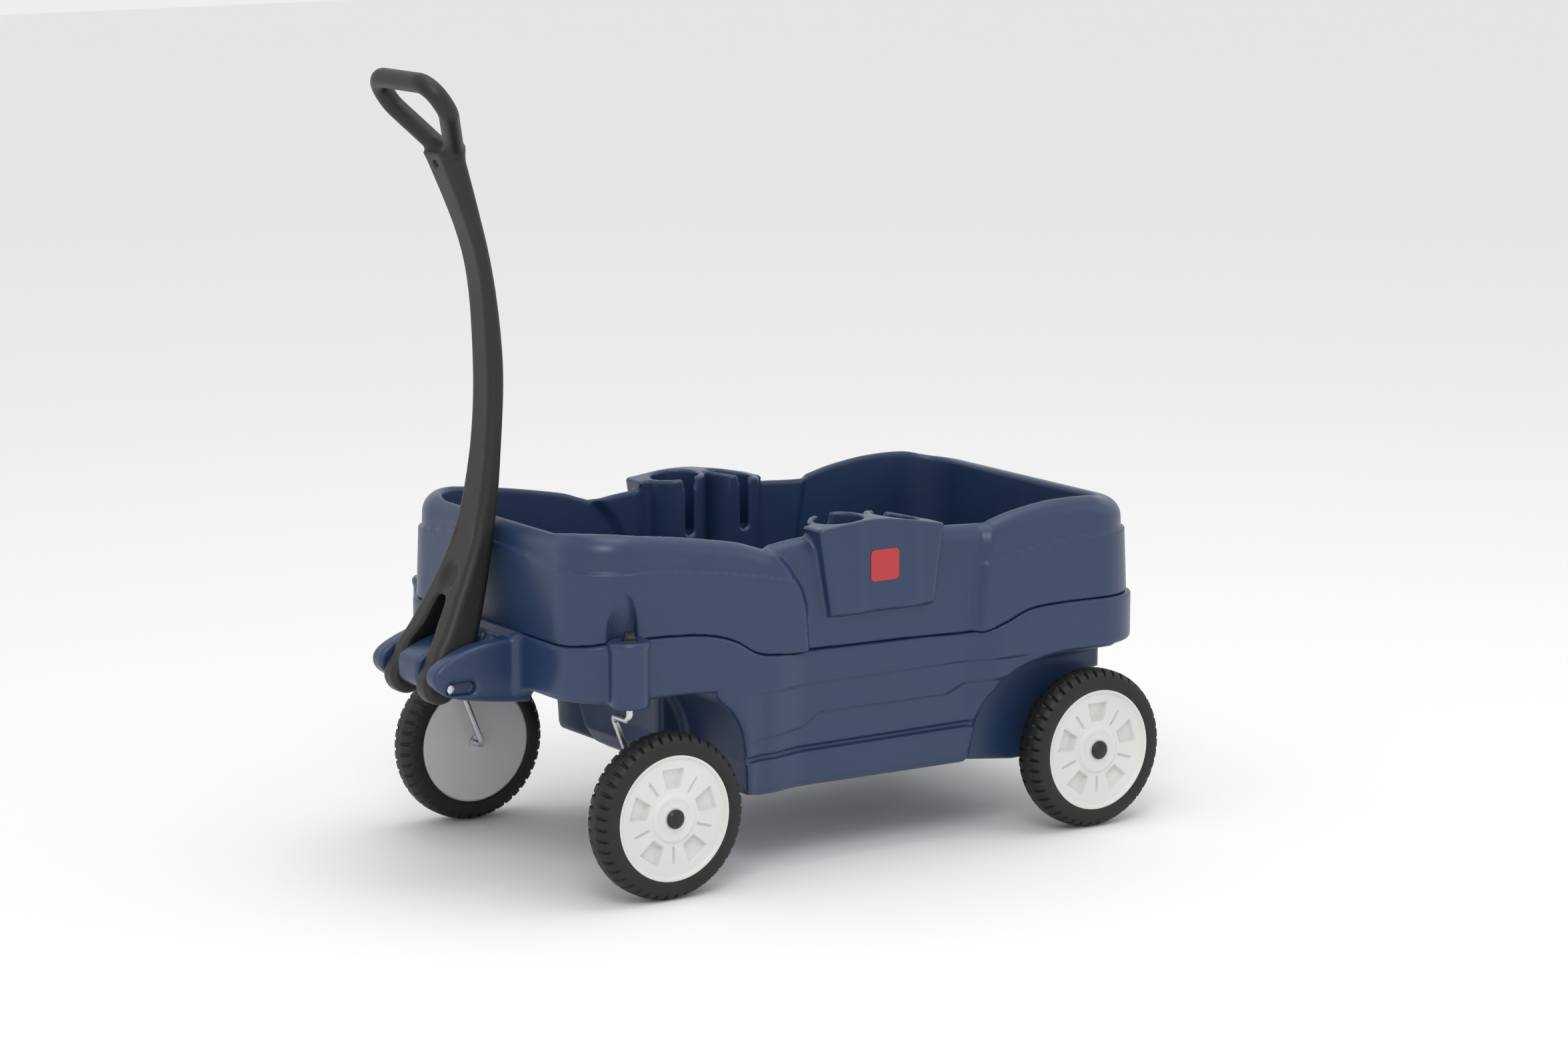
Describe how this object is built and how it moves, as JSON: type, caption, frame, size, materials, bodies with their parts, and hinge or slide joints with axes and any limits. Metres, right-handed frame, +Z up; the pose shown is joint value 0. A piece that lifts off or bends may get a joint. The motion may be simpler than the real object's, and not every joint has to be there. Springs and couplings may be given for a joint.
{
  "type": "pull wagon",
  "caption": "Moulded child's pull wagon: rounded tub with seats, foot well and cup-holder pods on a fendered chassis, wire front casters, rear axle and folding fork handle.",
  "frame": {"origin": "on the ground, centred under the wagon's bounding box", "axes": "+X forward towards the pull handle, +Y the wagon's left, +Z up"},
  "size_m": [0.9744, 0.528, 0.9892],
  "materials": {
    "body": "satin moulded",
    "handle": "satin moulded",
    "zinc": "zinc plated",
    "nylon": "matte",
    "cap": "satin",
    "badge": "gloss",
    "webbing": "woven",
    "belt_plastic": "satin",
    "tyre": "matte moulded",
    "wheel_white": "satin moulded"
  },
  "bodies": {
    "root": {"tub": "body", "chassis": "body", "handle_pin": "zinc", "pin_cap_left": "zinc", "pin_cap_right": "zinc", "body_screws": "zinc", "rear_axle": "zinc", "belt_buckle": "belt_plastic", "caster_bush_left": "nylon", "badge_left": "badge", "belt_strap_left": "webbing", "belt_anchor_left": "belt_plastic", "rear_left_washer": "zinc", "rear_left_cap": "cap", "caster_bush_right": "nylon", "badge_right": "badge", "belt_strap_right": "webbing", "belt_anchor_right": "belt_plastic", "rear_right_washer": "zinc", "rear_right_cap": "cap"},
    "handle": {"handle": "handle"},
    "caster_left": {"caster_rod_left": "zinc", "caster_cap_left": "cap", "front_left_washer": "zinc", "front_left_cap": "cap"},
    "wheel_front_left": {"front_left_tyre": "tyre", "front_left_hub": "wheel_white", "front_left_inner_cover": "wheel_white", "front_left_bush": "nylon"},
    "wheel_rear_left": {"rear_left_tyre": "tyre", "rear_left_hub": "wheel_white", "rear_left_inner_cover": "wheel_white", "rear_left_bush": "nylon"},
    "caster_right": {"caster_rod_right": "zinc", "caster_cap_right": "cap", "front_right_washer": "zinc", "front_right_cap": "cap"},
    "wheel_front_right": {"front_right_tyre": "tyre", "front_right_hub": "wheel_white", "front_right_inner_cover": "wheel_white", "front_right_bush": "nylon"},
    "wheel_rear_right": {"rear_right_tyre": "tyre", "rear_right_hub": "wheel_white", "rear_right_inner_cover": "wheel_white", "rear_right_bush": "nylon"}
  },
  "joints": [
    {"name": "handle_pivot", "type": "hinge", "parent": "root", "child": "handle", "pos_m": [0.45677, 0, 0.25], "axis": [0, 1, 0], "range_deg": [0, 105]},
    {"name": "caster_swivel_left", "type": "hinge", "parent": "root", "child": "caster_left", "pos_m": [0.30677, 0.236, 0.28], "axis": [0, 0, 1], "continuous": true},
    {"name": "front_left_spin", "type": "hinge", "parent": "caster_left", "child": "wheel_front_left", "pos_m": [0.25777, 0.236, 0.1016], "axis": [0, 1, 0], "continuous": true},
    {"name": "rear_left_spin", "type": "hinge", "parent": "root", "child": "wheel_rear_left", "pos_m": [-0.37923, 0.236, 0.1016], "axis": [0, 1, 0], "continuous": true},
    {"name": "caster_swivel_right", "type": "hinge", "parent": "root", "child": "caster_right", "pos_m": [0.30677, -0.236, 0.28], "axis": [0, 0, 1], "continuous": true},
    {"name": "front_right_spin", "type": "hinge", "parent": "caster_right", "child": "wheel_front_right", "pos_m": [0.25777, -0.236, 0.1016], "axis": [0, 1, 0], "continuous": true},
    {"name": "rear_right_spin", "type": "hinge", "parent": "root", "child": "wheel_rear_right", "pos_m": [-0.37923, -0.236, 0.1016], "axis": [0, 1, 0], "continuous": true}
  ]
}
